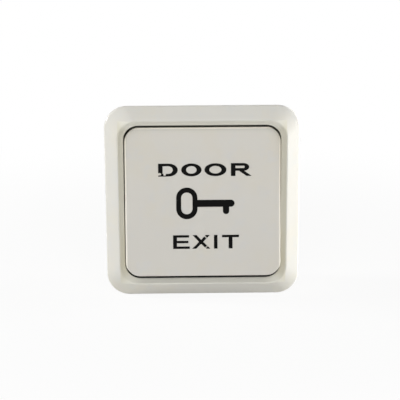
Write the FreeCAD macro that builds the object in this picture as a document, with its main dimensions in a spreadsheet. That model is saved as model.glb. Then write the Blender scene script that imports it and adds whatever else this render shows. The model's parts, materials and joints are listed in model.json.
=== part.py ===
import FreeCAD, Part
import os
import re
import Sketcher
from FreeCAD import Rotation, Vector

# Surface mount door release switch: a square cover with a large sprung rocker plate, clipped to a
# surface box that holds a changeover contact mechanism on a steel strap.
# The frame: X to the right, Z up, the front faces -Y. The origin is the middle of the back.
# Depth means the distance in front of the wall, so a depth of 10 lies at Y = -10.
# Pieces that rock are drawn about the pivot, in the plate's own directions, and then placed.

SIZES = {
    # How far a cutting solid runs past the face that it leaves by
    "overcut": "1",
    # Cover frame
    "cover_size": "80",
    "cover_corner": "9.3",
    "edge_depth": "25.5",
    "skirt_depth": "1.5",
    "skirt_wall": "1.8",
    "ridge_inset": "5.6",
    "ridge_rise": "3.8",
    "ridge_corner": "7.5",
    "band_width": "1.9",
    "band_drop": "2.1",
    "opening_corner": "6.3",
    "opening_wall": "1.2",
    "opening_tube": "4",
    "seat_drop": "0.6",
    "claw_pitch": "36",
    "claw_width": "8",
    "claw_length": "7.5",
    "claw_step": "0.7",
    "claw_hook": "0.9",
    "hook_height": "1.3",
    "claw_clearance": "0.2",
    # Push plate
    "side_gap": "0.4",
    "end_gap": "1.6",
    "plate_proud": "1",
    "plate_thickness": "2",
    "plate_corner": "6",
    "plate_skirt": "4",
    "plate_wall": "1.4",
    "rib_height": "1",
    "rib_width": "1.2",
    "rib_offset": "4",
    "rest_tilt": "7",
    "pivot_offset": "6",
    "post_width": "2.4",
    "post_height": "2",
    "post_inset": "3.2",
    "post_barb": "0.5",
    "barb_height": "0.8",
    "post_clearance": "0.1",
    # Printed legend
    "print_thickness": "0.1",
    "door_middle": "13.1",
    "door_height": "5.1",
    "door_letter": "8.2",
    "door_gap": "1.75",
    "exit_middle": "-17",
    "exit_height": "5.7",
    "exit_letter": "6.85",
    "exit_gap": "1.7",
    "exit_shift": "1",
    "print_stem": "1.5",
    "print_bar": "0.83",
    "round_half": "3.8",
    "bowl_height": "3.2",
    "bowl_round": "1.5",
    "leg_stroke": "1.8",
    "cross_stroke": "1.95",
    "key_middle": "-0.8",
    "bow_left": "-11.3",
    "bow_width": "8.7",
    "bow_height": "13",
    "bow_round": "4.2",
    "bow_rim_across": "1.95",
    "bow_rim_up": "1.85",
    "shank_end": "12.7",
    "shank_height": "2.6",
    "tooth_middle": "9.3",
    "tooth_width": "2.6",
    "tooth_drop": "4.5",
    # Surface box
    "box_front_inset": "2.7",
    "box_back_inset": "4.3",
    "box_corner": "6.6",
    "box_back_corner": "5.4",
    "box_wall": "2.2",
    "back_plate": "2",
    "boss_inset": "3.5",
    "boss_radius": "3.7",
    "boss_rib": "1.8",
    "pilot_radius": "1.3",
    "pilot_depth": "10",
    "boss_to_slot": "10",
    "wall_slot_width": "4.4",
    "wall_slot_length": "8",
    "cable_hole_radius": "6.5",
    "cable_hole_inset": "9.7",
    "knockout_width": "16",
    "knockout_height": "12",
    "knockout_depth": "12.5",
    "knockout_wall": "1.5",
    # Strap
    "strap_side": "3",
    "strap_end": "5.5",
    "strap_corner": "4",
    "strap_thickness": "1.2",
    "strap_slot_width": "3.4",
    "strap_slot_length": "7",
    "window_side": "4",
    "window_end": "1",
    # Screws
    "screw_clearance": "0.05",
    "strap_head_radius": "2.9",
    "strap_head_height": "2",
    "drive_slot_width": "0.8",
    "drive_slot_depth": "0.9",
    "screw_end_gap": "1",
    # Mechanism body and cover
    "body_height": "37",
    "head_gap": "3.1",
    "body_corner": "2",
    "body_floor": "1.5",
    "chamber_side_gap": "0.7",
    "chamber_end_wall": "3.5",
    "spigot_clearance": "0.2",
    "mech_cover_thickness": "2",
    "bearing_clearance": "0.06",
    "ear_width": "3",
    "ear_wall": "1.3",
    "stem_side_gap": "0.8",
    "stem_swing": "3.3",
    "spring_cup_floor": "0.8",
    "rivet_inset": "3",
    "rivet_radius": "1.4",
    "rivet_head_radius": "2.4",
    "rivet_head_height": "0.8",
    # Rocker cradle
    "deck_width": "19.2",
    "deck_height": "28",
    "deck_thickness": "2",
    "bore_roof": "1.5",
    "hub_radius": "2.2",
    "hub_clearance": "0.35",
    "trunnion_radius": "1.5",
    "trunnion_clearance": "0.6",
    "stem_radius": "3.2",
    "stem_length": "6.5",
    # Plunger
    "plunger_radius": "1.6",
    "plunger_clearance": "0.08",
    "plunger_reach": "9.5",
    "plunger_length": "4.5",
    "plunger_gap": "0.15",
    "plunger_wire": "0.35",
    "plunger_coils": "9",
    # Return spring
    "spring_edge": "0.6",
    "return_spring_radius": "2.4",
    "return_wire": "0.5",
    "return_coils": "4.5",
    "spring_clearance": "0.3",
    "spring_seat_gap": "0.05",
    # Contacts
    "lever_thickness": "0.8",
    "lever_width": "6.6",
    "lever_overhang": "2",
    "lever_ear_width": "0.8",
    "lever_ear_drop": "1.2",
    "lever_ear_height": "3",
    "lever_ear_clearance": "0.3",
    "lever_tilt": "4.5",
    "lever_gap": "0.1",
    "lever_ridge_radius": "0.6",
    "lever_end_gap": "1.5",
    "contact_radius": "1.5",
    "contact_height": "0.8",
    "contact_gap": "0.07",
    "fixed_contact_height": "0.7",
    "strip_thickness": "0.8",
    "strip_inset": "1",
    "strip_clearance": "0.1",
    "strip_margin": "1",
    # Terminals
    "terminal_inset": "10",
    "terminal_pocket": "8",
    "clamp_inset": "0.8",
    "clamp_thickness": "1",
    "clamp_gap": "0.1",
    "terminal_screw_radius": "1.3",
    "terminal_head_radius": "2.5",
    "terminal_head_height": "1.7",
    "terminal_screw_reach": "4",
}

# Places that follow from the sizes
PLACES = {
    "cover_half": "cover_size / 2",
    "seat_depth": "edge_depth - seat_drop",
    "skirt_back": "edge_depth - skirt_depth",
    "ridge_depth": "edge_depth + ridge_rise",
    "ridge_size": "cover_size - 2 * ridge_inset",
    "opening_size": "ridge_size - 2 * band_width",
    "opening_half": "opening_size / 2",
    "opening_depth": "ridge_depth - band_drop",
    "claw_face": "opening_half + opening_wall + claw_step",
    "plate_width": "opening_size - 2 * side_gap",
    "plate_height": "opening_size - 2 * end_gap",
    "plate_depth": "edge_depth + plate_proud",
    "plate_back": "pivot_offset - plate_thickness",
    "pivot_depth": "plate_depth - pivot_offset * cos(rest_tilt * 1deg)",
    "pivot_level": "-pivot_offset * sin(rest_tilt * 1deg)",
    "mech_face": "pivot_depth - hub_radius - hub_clearance",
    "strap_front": "mech_face - mech_cover_thickness",
    "strap_back": "strap_front - strap_thickness",
    # Box
    "box_front_half": "cover_half - box_front_inset",
    "box_back_half": "cover_half - box_back_inset",
    "boss_middle": "box_back_half - box_wall - boss_inset",
    "wall_slot_middle": "boss_middle - boss_to_slot",
    "cable_hole_middle": "box_back_half - cable_hole_inset",
    # Mechanism, between the bosses
    "body_width": "2 * (boss_middle - strap_head_radius - head_gap)",
    "strap_width": "2 * (boss_middle + strap_side)",
    "strap_height": "body_height + 2 * strap_end",
    "chamber_width": "lever_width + 2 * chamber_side_gap",
    "chamber_height": "body_height - 2 * chamber_end_wall",
    "window_width": "chamber_width + 2 * window_side",
    "window_height": "chamber_height + 2 * window_end",
    "rivet_across": "body_width / 2 - rivet_inset",
    "rivet_up": "body_height / 2 - rivet_inset",
    # Rocker
    "deck_back": "plate_back - deck_thickness",
    "bore_end": "plate_back - bore_roof",
    "bearing_radius": "trunnion_radius + bearing_clearance",
    "post_across": "deck_width / 2 - post_inset",
    "post_up": "deck_height / 2 - post_inset",
    "spring_drop": "deck_height / 2 - return_spring_radius - spring_edge",
    # Contacts
    "contact_pitch": "chamber_height / 2 - lever_overhang - lever_end_gap",
    "lever_front": "pivot_depth - plunger_reach - plunger_gap",
    "lever_axis": "lever_front - lever_thickness - lever_gap - lever_ridge_radius",
    "lever_back": "lever_gap + lever_ridge_radius",
    "contact_tip": "lever_back - contact_height",
    "fixed_contact_front": "lever_axis + contact_tip * cos(lever_tilt * 1deg)"
    " - (contact_pitch + contact_radius) * sin(lever_tilt * 1deg) - contact_gap",
    "strip_front": "fixed_contact_front - fixed_contact_height",
    "strip_back": "strip_front - strip_thickness",
    "strip_width": "terminal_pocket - 2 * strip_inset",
    "clamp_size": "terminal_pocket - 2 * clamp_inset",
    "body_back": "strip_back - body_floor",
    "terminal_offset": "body_width / 2 - terminal_inset",
    "open_level": "pivot_level + contact_pitch",
    "closed_level": "pivot_level - contact_pitch",
}

SIZE_WORD = re.compile(r"[a-z_]+")
TURN_TO_FRONT = Rotation(Vector(1, 0, 0), 90)
TURN_TO_RIGHT = Rotation(Vector(0, 1, 0), 90)

doc = FreeCAD.newDocument("surface_switch")
parts = []


def qualified(formula):
    # Names the sheet that each size or place in a formula belongs to
    def with_sheet(match):
        word = match.group(0)
        if word in SIZES:
            return "sizes." + word
        return "places." + word if word in PLACES else word

    return SIZE_WORD.sub(with_sheet, formula)


def add_sheet(name, cells):
    sheet = doc.addObject("Spreadsheet::Sheet", name)
    for row, (alias, content) in enumerate(cells.items(), start=1):
        sheet.set(f"A{row}", alias)
        sheet.set(f"B{row}", content)
        sheet.setAlias(f"B{row}", alias)
    doc.recompute()
    return sheet


sizes = add_sheet("sizes", SIZES)
add_sheet("places", {name: "=" + qualified(text) for name, text in PLACES.items()})


def value(formula):
    return float(sizes.evalExpression(qualified(formula)))


def bind(thing, setting, formula):
    thing.setExpression(setting, qualified(formula))


def part(thing, label):
    thing.Label = label
    parts.append(thing)
    return thing


# Solids from pairs of formulas, given as x, depth and z, each from and to
def box(x, depth, z):
    solid = doc.addObject("Part::Box", "box")
    bind(solid, "Length", f"({x[1]}) - ({x[0]})")
    bind(solid, "Width", f"({depth[1]}) - ({depth[0]})")
    bind(solid, "Height", f"({z[1]}) - ({z[0]})")
    bind(solid, "Placement.Base.x", x[0])
    bind(solid, "Placement.Base.y", f"-({depth[1]})")
    bind(solid, "Placement.Base.z", z[0])
    return solid


def centred(middle, size):
    return (f"({middle}) - ({size}) / 2", f"({middle}) + ({size}) / 2")


def mirrored(span):
    return (f"-({span[1]})", f"-({span[0]})")


def place_at(thing, x, depth, z):
    bind(thing, "Placement.Base.x", x)
    bind(thing, "Placement.Base.y", f"-({depth})")
    bind(thing, "Placement.Base.z", z)


# A round bar or hole that points out of the wall
def rod(radius, depth, x="0", z="0"):
    solid = doc.addObject("Part::Cylinder", "rod")
    bind(solid, "Radius", radius)
    bind(solid, "Height", f"({depth[1]}) - ({depth[0]})")
    solid.Placement.Rotation = TURN_TO_FRONT
    place_at(solid, x, depth[0], z)
    return solid


# A round bar or hole that points to the right
def cross_rod(radius, x, depth="0", z="0"):
    solid = doc.addObject("Part::Cylinder", "cross_rod")
    bind(solid, "Radius", radius)
    bind(solid, "Height", f"({x[1]}) - ({x[0]})")
    solid.Placement.Rotation = TURN_TO_RIGHT
    place_at(solid, x[0], depth, z)
    return solid


def ball(radius, depth):
    solid = doc.addObject("Part::Sphere", "ball")
    bind(solid, "Radius", radius)
    place_at(solid, "0", depth, "0")
    return solid


def fuse(*things):
    union = doc.addObject("Part::MultiFuse", "fuse")
    union.Shapes = list(things)
    union.Refine = True
    return union


def group(*things):
    compound = doc.addObject("Part::Compound", "group")
    compound.Links = list(things)
    return compound


def cut(base, *tools):
    difference = doc.addObject("Part::Cut", "cut")
    difference.Base = base
    difference.Tool = tools[0] if len(tools) == 1 else fuse(*tools)
    return difference


# Sketches and features of a body
def add_body(name):
    return doc.addObject("PartDesign::Body", name)


def add_sketch(body, depth, plane="XZ_Plane"):
    sketch = body.newObject("Sketcher::SketchObject", "outline")
    origin_plane = next(item for item in body.Origin.OriginFeatures if item.Role == plane)
    sketch.AttachmentSupport = [(origin_plane, "")]
    sketch.MapMode = "FlatFace"
    bind(sketch, "AttachmentOffset.Base.z", depth)
    return sketch


def constrain(sketch, name, formula, *constraint):
    index = sketch.addConstraint(Sketcher.Constraint(*constraint, value(formula)))
    sketch.renameConstraint(index, name)
    bind(sketch, "Constraints." + name, formula)


def rounded_rectangle(body, depth, width, height, corner, x="0", z="0"):
    sketch = add_sketch(body, depth)
    half_width = value(width) / 2
    half_height = value(height) / 2
    radius = value(corner)
    middle = Vector(value(x), value(z), 0)
    turns = [(1, 1), (-1, 1), (-1, -1), (1, -1)]
    quarter = FreeCAD.Units.Quantity("90 deg").getValueAs("rad").Value
    for index, (right, up) in enumerate(turns):
        centre = middle + Vector(right * (half_width - radius), up * (half_height - radius), 0)
        circle = Part.Circle(centre, Vector(0, 0, 1), radius)
        sketch.addGeometry(Part.ArcOfCircle(circle, index * quarter, (index + 1) * quarter), False)
    for index in range(4):
        start = sketch.Geometry[index].EndPoint
        end = sketch.Geometry[(index + 1) % 4].StartPoint
        line = sketch.addGeometry(Part.LineSegment(start, end), False)
        sketch.addConstraint(Sketcher.Constraint("Tangent", index, 2, line, 1))
        sketch.addConstraint(Sketcher.Constraint("Tangent", line, 2, (index + 1) % 4, 1))
        direction = "Vertical" if index % 2 else "Horizontal"
        sketch.addConstraint(Sketcher.Constraint(direction, line))
        if index:
            sketch.addConstraint(Sketcher.Constraint("Equal", 0, index))
    constrain(sketch, "corner", corner, "Radius", 0)
    constrain(sketch, "run_across", f"({width}) - 2 * ({corner})", "DistanceX", 4, 2, 4, 1)
    constrain(sketch, "run_up", f"({height}) - 2 * ({corner})", "DistanceY", 5, 2, 5, 1)
    constrain(sketch, "left", f"({x}) - ({width}) / 2 + ({corner})", "DistanceX", -1, 1, 4, 2)
    constrain(sketch, "low", f"({z}) - ({height}) / 2 + ({corner})", "DistanceY", -1, 1, 5, 2)
    return sketch


def polygon(body, depth, points):
    sketch = add_sketch(body, depth)
    corners = [Vector(value(x), value(z), 0) for x, z in points]
    for index, corner in enumerate(corners):
        following = corners[(index + 1) % len(corners)]
        sketch.addGeometry(Part.LineSegment(corner, following), False)
    for index, (x, z) in enumerate(points):
        before = (index - 1) % len(points)
        sketch.addConstraint(Sketcher.Constraint("Coincident", before, 2, index, 1))
        constrain(sketch, f"across_{index}", x, "DistanceX", -1, 1, index, 1)
        constrain(sketch, f"up_{index}", z, "DistanceY", -1, 1, index, 1)
    return sketch


def pad(body, sketch, length):
    feature = body.newObject("PartDesign::Pad", "pad")
    feature.Profile = sketch
    bind(feature, "Length", length)
    return feature


def pocket(body, sketch, length):
    # A pocket cuts against its sketch's normal, and here the cuts run forward
    feature = body.newObject("PartDesign::Pocket", "pocket")
    feature.Profile = sketch
    feature.Reversed = True
    bind(feature, "Length", length)
    return feature


def loft(body, kind, first, second):
    feature = body.newObject("PartDesign::" + kind, "loft")
    feature.Profile = first
    feature.Sections = [second]
    feature.Ruled = True
    return feature


def turned(thing, angle, depth, level):
    # The axis is set first, because an expression can only reach the angle
    thing.Placement.Rotation = Rotation(Vector(1, 0, 0), 1)
    bind(thing, "Placement.Rotation.Angle", angle)
    bind(thing, "Placement.Base.y", f"-({depth})")
    bind(thing, "Placement.Base.z", level)
    return thing


def on_rocker(thing):
    return turned(thing, "-rest_tilt", "pivot_depth", "pivot_level")


def on_lever(thing):
    return turned(thing, "lever_tilt", "lever_axis", "pivot_level")


def coil(radius, wire, span, turns, z="0"):
    # A helical spring whose axis points out of the wall
    body = add_body("coil")
    sketch = add_sketch(body, z, "XY_Plane")
    start = f"-({span[1]}) + ({wire}) / 2"
    centre = Vector(value(f"({radius}) - ({wire}) / 2"), value(start), 0)
    sketch.addGeometry(Part.Circle(centre, Vector(0, 0, 1), value(f"({wire}) / 2")), False)
    constrain(sketch, "wire", f"({wire}) / 2", "Radius", 0)
    constrain(sketch, "across", f"({radius}) - ({wire}) / 2", "DistanceX", -1, 1, 0, 3)
    constrain(sketch, "start", start, "DistanceY", -1, 1, 0, 3)
    helix = body.newObject("PartDesign::AdditiveHelix", "helix")
    helix.Profile = sketch
    helix.ReferenceAxis = (sketch, ["V_Axis"])
    helix.Mode = 2  # by height and turns
    bind(helix, "Height", f"({span[1]}) - ({span[0]}) - ({wire})")
    bind(helix, "Turns", turns)
    return body


# Cover frame: sloping faces up to the ridge, an inner band down to the opening, and four claws
def make_cover_frame():
    body = add_body("cover_shell")
    square = ["cover_size", "cover_size", "cover_corner"]
    pad(body, rounded_rectangle(body, "skirt_back", *square), "skirt_depth")
    rim = rounded_rectangle(body, "edge_depth", *square)
    ridge = rounded_rectangle(body, "ridge_depth", "ridge_size", "ridge_size", "ridge_corner")
    loft(body, "AdditiveLoft", rim, ridge)
    opening = ["opening_size", "opening_size", "opening_corner"]
    band_top = rounded_rectangle(body, "ridge_depth", "ridge_size", "ridge_size", "ridge_corner")
    loft(body, "SubtractiveLoft", band_top, rounded_rectangle(body, "opening_depth", *opening))
    inner_size = "cover_size - 2 * skirt_wall"
    hollow_corner = "cover_corner - skirt_wall"
    hollow = rounded_rectangle(body, "skirt_back", inner_size, inner_size, hollow_corner)
    pocket(body, hollow, "seat_depth - skirt_back")
    tube_size = "opening_size + 2 * opening_wall"
    tube_corner = "opening_corner + opening_wall"
    tube = rounded_rectangle(body, "seat_depth - opening_tube", tube_size, tube_size, tube_corner)
    pad(body, tube, "opening_tube")
    window = rounded_rectangle(body, "seat_depth - opening_tube", *opening)
    pocket(body, window, "ridge_depth")
    claws = []
    claw_root = "opening_half + claw_step"
    claw_span = ("seat_depth - claw_length", "seat_depth")
    hook_span = (claw_span[0], f"{claw_span[0]} + hook_height")
    for up in (1, -1):
        z = centred(f"{up} * claw_pitch / 2", "claw_width")
        leg = (claw_root, "claw_face")
        hook = (claw_root, "claw_face + claw_hook")
        claws += [box(leg, claw_span, z), box(mirrored(leg), claw_span, z)]
        claws += [box(hook, hook_span, z), box(mirrored(hook), hook_span, z)]
    part(fuse(body, *claws), "cover_frame")


# Surface box: tapered tray with screw bosses, wall slots, cable hole, knock-outs, claw recesses
def make_base_box():
    body = add_body("box_shell")
    back = ["2 * box_back_half", "2 * box_back_half", "box_back_corner"]
    front = ["2 * box_front_half", "2 * box_front_half", "box_corner"]
    loft(
        body,
        "AdditiveLoft",
        rounded_rectangle(body, "0", *back),
        rounded_rectangle(body, "seat_depth", *front),
    )
    inner = [
        [f"{side} - 2 * box_wall", f"{side} - 2 * box_wall", f"{corner} - box_wall"]
        for side, _, corner in (back, front)
    ]
    loft(
        body,
        "SubtractiveLoft",
        rounded_rectangle(body, "back_plate", *inner[0]),
        rounded_rectangle(body, "seat_depth", *inner[1]),
    )
    added = []
    removed = []
    boss_depth = ("back_plate / 2", "strap_back")
    rib = ("boss_middle", "box_back_half - box_wall / 2")
    added += [box(x, boss_depth, centred("0", "boss_rib")) for x in (rib, mirrored(rib))]
    through = ("-overcut", "back_plate + overcut")
    straight = "(wall_slot_length - wall_slot_width)"
    recess = ("box_back_half - box_wall - overcut", "claw_face + claw_hook + claw_clearance")
    recess_start = "seat_depth - claw_length - claw_clearance"
    recess_depth = (recess_start, f"{recess_start} + hook_height + 2 * claw_clearance")
    knockout = ("box_back_half - box_wall + knockout_wall", "box_front_half + overcut")
    knockout_x = centred("0", "knockout_width")
    knockout_depth = centred("knockout_depth", "knockout_height")
    removed += [box(knockout_x, knockout_depth, z) for z in (knockout, mirrored(knockout))]
    for side in (1, -1):
        middle = f"{side} * boss_middle"
        added.append(rod("boss_radius", boss_depth, middle))
        removed.append(rod("pilot_radius", ("strap_back - pilot_depth", "strap_back"), middle))
        slot_x = centred(f"{side} * wall_slot_middle", straight)
        removed.append(box(slot_x, through, centred("0", "wall_slot_width")))
        removed += [rod("wall_slot_width / 2", through, end) for end in slot_x]
        recess_z = centred(f"{side} * claw_pitch / 2", "claw_width + 2 * claw_clearance")
        removed += [box(x, recess_depth, recess_z) for x in (recess, mirrored(recess))]
    removed.append(rod("cable_hole_radius", through, "0", "-cable_hole_middle"))
    part(cut(fuse(body, *added), *removed), "base_box")


# Steel strap with its window, screw slots and rivet holes
def make_mounting_strap():
    body = add_body("strap_plate")
    outline = ["strap_width", "strap_height", "strap_corner"]
    pad(body, rounded_rectangle(body, "strap_back", *outline), "strap_thickness")
    through = ("strap_back - overcut", "strap_front + overcut")
    window_z = centred("pivot_level", "window_height")
    removed = [box(centred("0", "window_width"), through, window_z)]
    slot_z = centred("0", "strap_slot_length - strap_slot_width")
    for side in (1, -1):
        middle = f"{side} * boss_middle"
        removed.append(box(centred(middle, "strap_slot_width"), through, slot_z))
        removed += [rod("strap_slot_width / 2", through, middle, end) for end in slot_z]
    removed += rivet_holes(through)
    part(cut(body, *removed), "mounting_strap")


def rivet_corners():
    return [
        (f"{side} * rivet_across", f"{up} * rivet_up")
        for side in (1, -1)
        for up in (1, -1)
    ]


def rivet_holes(through):
    radius = "rivet_radius + screw_clearance"
    return [rod(radius, through, x, z) for x, z in rivet_corners()]


def make_strap_screws():
    screws = []
    face = "strap_front + strap_head_height"
    shank_depth = ("strap_back - pilot_depth + screw_end_gap", face)
    slot_depth = (f"{face} - drive_slot_depth", f"{face} + overcut")
    slot_z = centred("0", "2 * strap_head_radius + overcut")
    for side in (1, -1):
        middle = f"{side} * boss_middle"
        shank = rod("pilot_radius - screw_clearance", shank_depth, middle)
        head = rod("strap_head_radius", ("strap_front", face), middle)
        slot = box(centred(middle, "drive_slot_width"), slot_depth, slot_z)
        screws.append(cut(fuse(shank, head), slot))
    part(group(*screws), "strap_screws")


# Each terminal's side, and the level of its strip
TERMINALS = {
    "open_strip": (-1, "open_level"),
    "closed_strip": (-1, "closed_level"),
    "common_strip": (1, "pivot_level"),
}


def to_side(side, span):
    return span if side > 0 else mirrored(span)


# Insulating block with the contact chamber in front and the terminal pockets behind
def make_mechanism_body():
    body = add_body("mechanism_block")
    outline = ["body_width", "body_height", "body_corner"]
    pad(body, rounded_rectangle(body, "body_back", *outline), "strap_back - body_back")
    chamber_depth = ("strip_back", "strap_back + overcut")
    chamber_z = centred("pivot_level", "chamber_height")
    removed = [box(centred("0", "chamber_width"), chamber_depth, chamber_z)]
    pocket_depth = ("body_back - overcut", "strip_back")
    channel = ("0", "terminal_offset + terminal_pocket / 2")
    channel_depth = ("strip_back", "strip_front + strip_clearance")
    screw_depth = ("strip_front", "strip_front + terminal_screw_reach")
    for side, level in TERMINALS.values():
        middle = f"{side} * terminal_offset"
        pocket_z = centred(level, "terminal_pocket")
        removed.append(box(centred(middle, "terminal_pocket"), pocket_depth, pocket_z))
        channel_z = centred(level, "strip_width + 2 * strip_clearance")
        removed.append(box(to_side(side, channel), channel_depth, channel_z))
        hole_radius = "terminal_screw_radius + strip_clearance"
        removed.append(rod(hole_radius, screw_depth, middle, level))
    removed += rivet_holes(("body_back - overcut", "strap_back + overcut"))
    part(cut(body, *removed), "mechanism_body")


# Light cover in front of the strap, with the spigot in its window and the bearing ears
def make_mechanism_cover():
    body = add_body("mechanism_front")
    outline = ["body_width", "body_height", "body_corner"]
    pad(body, rounded_rectangle(body, "strap_front", *outline), "mech_cover_thickness")
    spigot_x = centred("0", "window_width - 2 * spigot_clearance")
    spigot_z = centred("pivot_level", "window_height - 2 * spigot_clearance")
    added = [box(spigot_x, ("strap_back", "strap_front"), spigot_z)]
    ear_start = "deck_width / 2 + trunnion_clearance"
    ear = (ear_start, f"{ear_start} + ear_width")
    ear_radius = "bearing_radius + ear_wall"
    ear_z = centred("pivot_level", f"2 * ({ear_radius})")
    for x in (ear, mirrored(ear)):
        added.append(box(x, ("mech_face", "pivot_depth"), ear_z))
        added.append(cross_rod(ear_radius, x, "pivot_depth", "pivot_level"))
    through = ("strap_back - overcut", "mech_face + overcut")
    removed = rivet_holes(through)
    slot_x = centred("0", "2 * (stem_radius + stem_side_gap)")
    slot_z = centred("pivot_level", "2 * (stem_radius + stem_swing)")
    removed.append(box(slot_x, through, slot_z))
    bearing_x = centred("0", f"2 * ({ear[1]} + overcut)")
    removed.append(cross_rod("bearing_radius", bearing_x, "pivot_depth", "pivot_level"))
    cup_radius = "return_spring_radius + spring_clearance"
    cup = ("strap_back + spring_cup_floor", "mech_face + overcut")
    removed.append(rod(cup_radius, cup, "0", "pivot_level - spring_drop"))
    part(cut(fuse(body, *added), *removed), "mechanism_cover")


def make_mechanism_rivets():
    rivets = []
    for x, z in rivet_corners():
        shank = rod("rivet_radius", ("body_back", "mech_face"), x, z)
        front = rod("rivet_head_radius", ("mech_face", "mech_face + rivet_head_height"), x, z)
        rear = rod("rivet_head_radius", ("body_back - rivet_head_height", "body_back"), x, z)
        rivets.append(fuse(shank, front, rear))
    part(group(*rivets), "mechanism_rivets")


# Contact strips: a flat tail to the terminal, and for the common one the ridge under the lever
def make_strip(label, ridge=False):
    side, level = TERMINALS[label]
    tail_end = "terminal_offset + terminal_pocket / 2 - strip_clearance"
    tail = to_side(side, ("-contact_radius - strip_margin", tail_end))
    strip = box(tail, ("strip_back", "strip_front"), centred(level, "strip_width"))
    if ridge:
        ridge_x = centred("0", "lever_width - 2 * lever_ear_width - 2 * lever_ear_clearance")
        web_z = centred(level, "2 * lever_ridge_radius")
        web = box(ridge_x, ("strip_front", "lever_axis"), web_z)
        strip = fuse(strip, web, cross_rod("lever_ridge_radius", ridge_x, "lever_axis", level))
    through = ("strip_back - overcut", "strip_front + overcut")
    hole_radius = "terminal_screw_radius + screw_clearance"
    hole = rod(hole_radius, through, f"{side} * terminal_offset", level)
    part(cut(strip, hole), label)


def make_fixed_contacts():
    span = ("strip_front", "fixed_contact_front")
    levels = ("open_level", "closed_level")
    part(group(*[rod("contact_radius", span, "0", level) for level in levels]), "fixed_contacts")


def make_terminals():
    clamps = []
    screws = []
    clamp_front = "strip_back - clamp_gap"
    clamp_back = f"{clamp_front} - clamp_thickness"
    head_back = f"{clamp_back} - terminal_head_height"
    screw_end = "strip_front + terminal_screw_reach - screw_end_gap"
    hole_radius = "terminal_screw_radius + screw_clearance"
    hole_depth = (f"{clamp_back} - overcut", f"{clamp_front} + overcut")
    slot_depth = (f"{head_back} - overcut", f"{head_back} + drive_slot_depth")
    for side, level in TERMINALS.values():
        middle = f"{side} * terminal_offset"
        clamp_z = centred(level, "clamp_size")
        plate = box(centred(middle, "clamp_size"), (clamp_back, clamp_front), clamp_z)
        clamps.append(cut(plate, rod(hole_radius, hole_depth, middle, level)))
        shank = rod("terminal_screw_radius", (head_back, screw_end), middle, level)
        head = rod("terminal_head_radius", (head_back, clamp_back), middle, level)
        slot_z = centred(level, "2 * terminal_head_radius + overcut")
        slot = box(centred(middle, "drive_slot_width"), slot_depth, slot_z)
        screws.append(cut(fuse(shank, head), slot))
    part(group(*clamps), "terminal_clamps")
    part(group(*screws), "terminal_screws")


# Seesaw contact lever, drawn about its axis, at rest with its lower end in
def make_contact_lever():
    lever_length = "2 * (contact_pitch + lever_overhang)"
    lever_x = centred("0", "lever_width")
    lever_depth = ("lever_back", "lever_back + lever_thickness")
    blade = box(lever_x, lever_depth, centred("0", lever_length))
    ear_depth = ("lever_back - lever_ear_drop", "lever_back")
    ear_z = centred("0", "lever_ear_height")
    ear = ("lever_width / 2 - lever_ear_width", "lever_width / 2")
    ears = [box(x, ear_depth, ear_z) for x in (ear, mirrored(ear))]
    part(on_lever(fuse(blade, *ears)), "contact_lever")
    span = ("contact_tip", "lever_back")
    levels = ("contact_pitch", "-contact_pitch")
    rivets = group(*[rod("contact_radius", span, "0", level) for level in levels])
    part(on_lever(rivets), "lever_contacts")


# Push plate with its skirt, stiffening ribs and four clip posts
def make_push_plate():
    body = add_body("plate_shell")
    outline = ["plate_width", "plate_height", "plate_corner"]
    skirt_end = "pivot_offset - plate_skirt"
    pad(body, rounded_rectangle(body, skirt_end, *outline), "plate_skirt")
    inner = [f"{size} - 2 * plate_wall" for size in outline[:2]] + ["plate_corner - plate_wall"]
    pocket(body, rounded_rectangle(body, skirt_end, *inner), "plate_skirt - plate_thickness")
    added = []
    rib_x = centred("0", "plate_width - plate_wall")
    rib_depth = ("plate_back - rib_height", "plate_back")
    barb_front = "deck_back - post_clearance"
    barb_depth = (f"{barb_front} - barb_height", barb_front)
    post_depth = (barb_depth[0], "plate_back")
    post = centred("post_up", "post_height")
    barb = ("post_up", "post_up + post_height / 2 + post_barb")
    for side in (1, -1):
        rib_middle = f"{side} * (deck_height / 2 + rib_offset)"
        added.append(box(rib_x, rib_depth, centred(rib_middle, "rib_width")))
        post_x = centred(f"{side} * post_across", "post_width")
        for up in (1, -1):
            added.append(box(post_x, post_depth, to_side(up, post)))
            added.append(box(post_x, barb_depth, to_side(up, barb)))
    part(on_rocker(fuse(body, *added)), "push_plate")


# Cradle: deck behind the plate, hub with trunnions, and the stem that guides the plunger
def make_rocker_cradle():
    deck = box(centred("0", "deck_width"), ("deck_back", "plate_back"), centred("0", "deck_height"))
    web = box(centred("0", "deck_width"), ("0", "deck_back"), centred("0", "2 * hub_radius"))
    hub = cross_rod("hub_radius", centred("0", "deck_width"))
    trunnion_reach = "deck_width / 2 + trunnion_clearance + ear_width"
    trunnions = cross_rod("trunnion_radius", (f"-({trunnion_reach})", trunnion_reach))
    stem = rod("stem_radius", ("-stem_length", "0"))
    bore_depth = ("-stem_length - overcut", "bore_end")
    removed = [rod("plunger_radius + plunger_clearance", bore_depth)]
    through = ("deck_back - overcut", "plate_back + overcut")
    window_width = "post_width + 2 * post_clearance"
    window_height = "post_height + 2 * post_clearance"
    for side in (1, -1):
        window_x = centred(f"{side} * post_across", window_width)
        for up in (1, -1):
            window_z = centred(f"{up} * post_up", window_height)
            removed.append(box(window_x, through, window_z))
    part(on_rocker(cut(fuse(deck, web, hub, trunnions, stem), *removed)), "rocker_cradle")


def make_plunger():
    tip_middle = "-plunger_reach + plunger_radius"
    shank = rod("plunger_radius", (tip_middle, "-plunger_reach + plunger_length"))
    part(on_rocker(fuse(shank, ball("plunger_radius", tip_middle))), "plunger")
    span = ("-plunger_reach + plunger_length + spring_seat_gap", "bore_end - spring_seat_gap")
    spring = coil("plunger_radius - spring_seat_gap", "plunger_wire", span, "plunger_coils")
    part(on_rocker(spring), "plunger_spring")


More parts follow.
